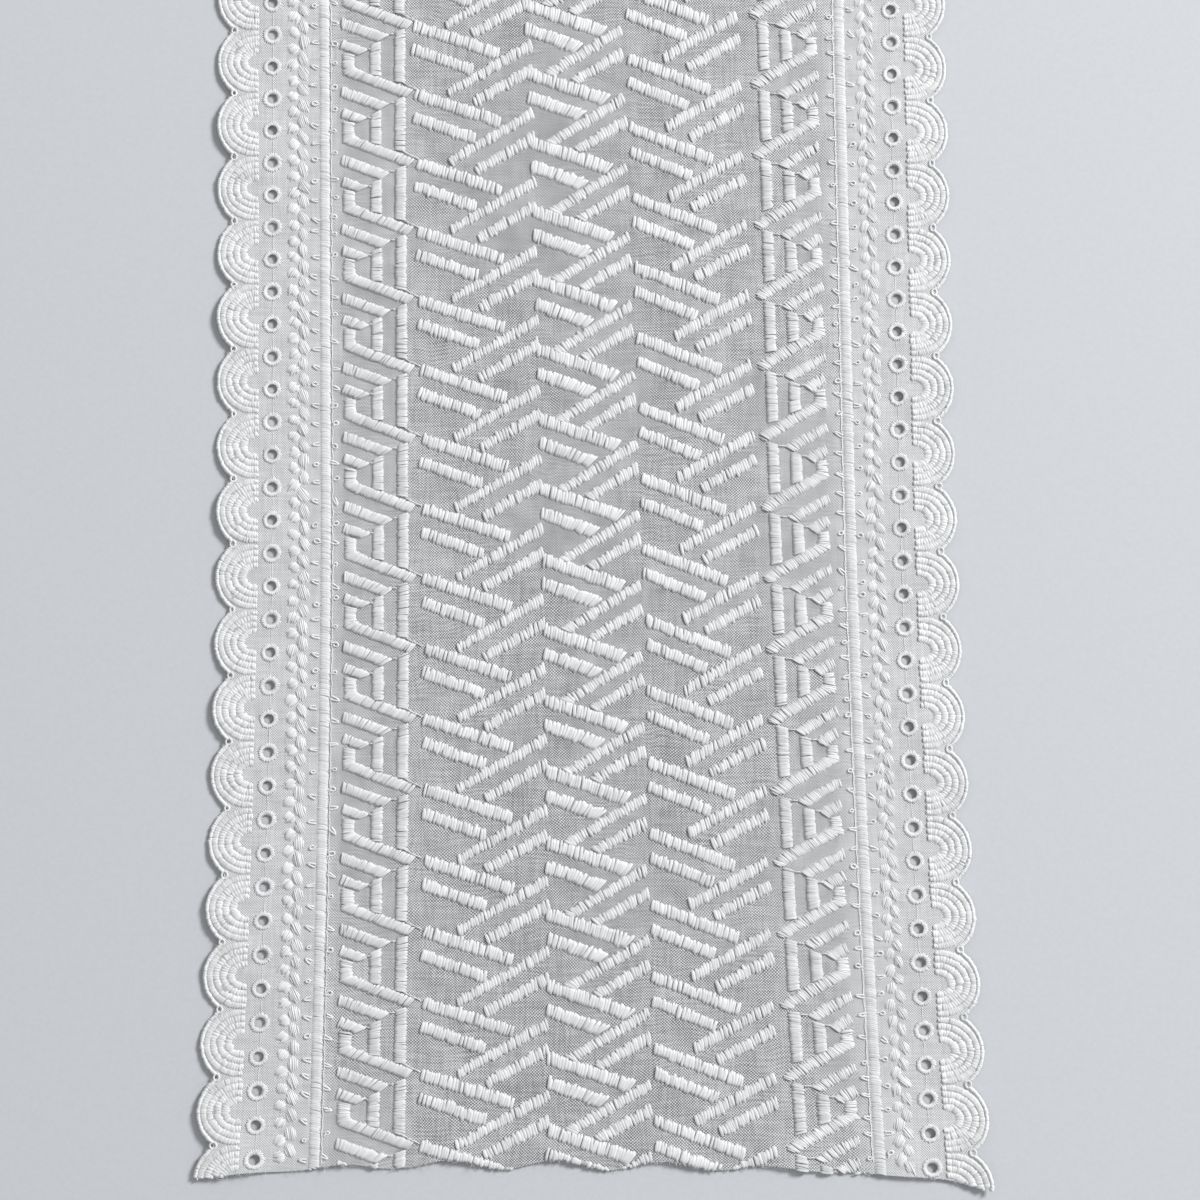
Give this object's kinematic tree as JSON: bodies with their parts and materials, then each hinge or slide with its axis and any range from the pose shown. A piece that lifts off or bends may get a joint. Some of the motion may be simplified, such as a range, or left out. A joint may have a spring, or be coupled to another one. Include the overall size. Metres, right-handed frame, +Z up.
{
  "type": "embroidered lace",
  "caption": "Wide embroidered lace trim lying flat: sheer centre panel with raised satin bars between two scalloped borders of open eyelets, one end wavy from the cut.",
  "frame": {"origin": "bottom centre of the whole trim, on the surface it lies on", "axes": "+Y along the trim, from its wavy cut end to its straight cut end; +X across it; +Z up, on the embroidered face"},
  "size_m": [0.2118, 0.3452, 0.0028],
  "materials": {
    "panel_voile": "matt sheer woven ground, white",
    "border_cotton": "matt closely woven cotton, white",
    "satin_thread": "soft sheen of satin-stitched white thread"
  },
  "bodies": {
    "root": {"centre_panel": "panel_voile", "border_left": "border_cotton", "border_right": "border_cotton"}
  },
  "joints": []
}
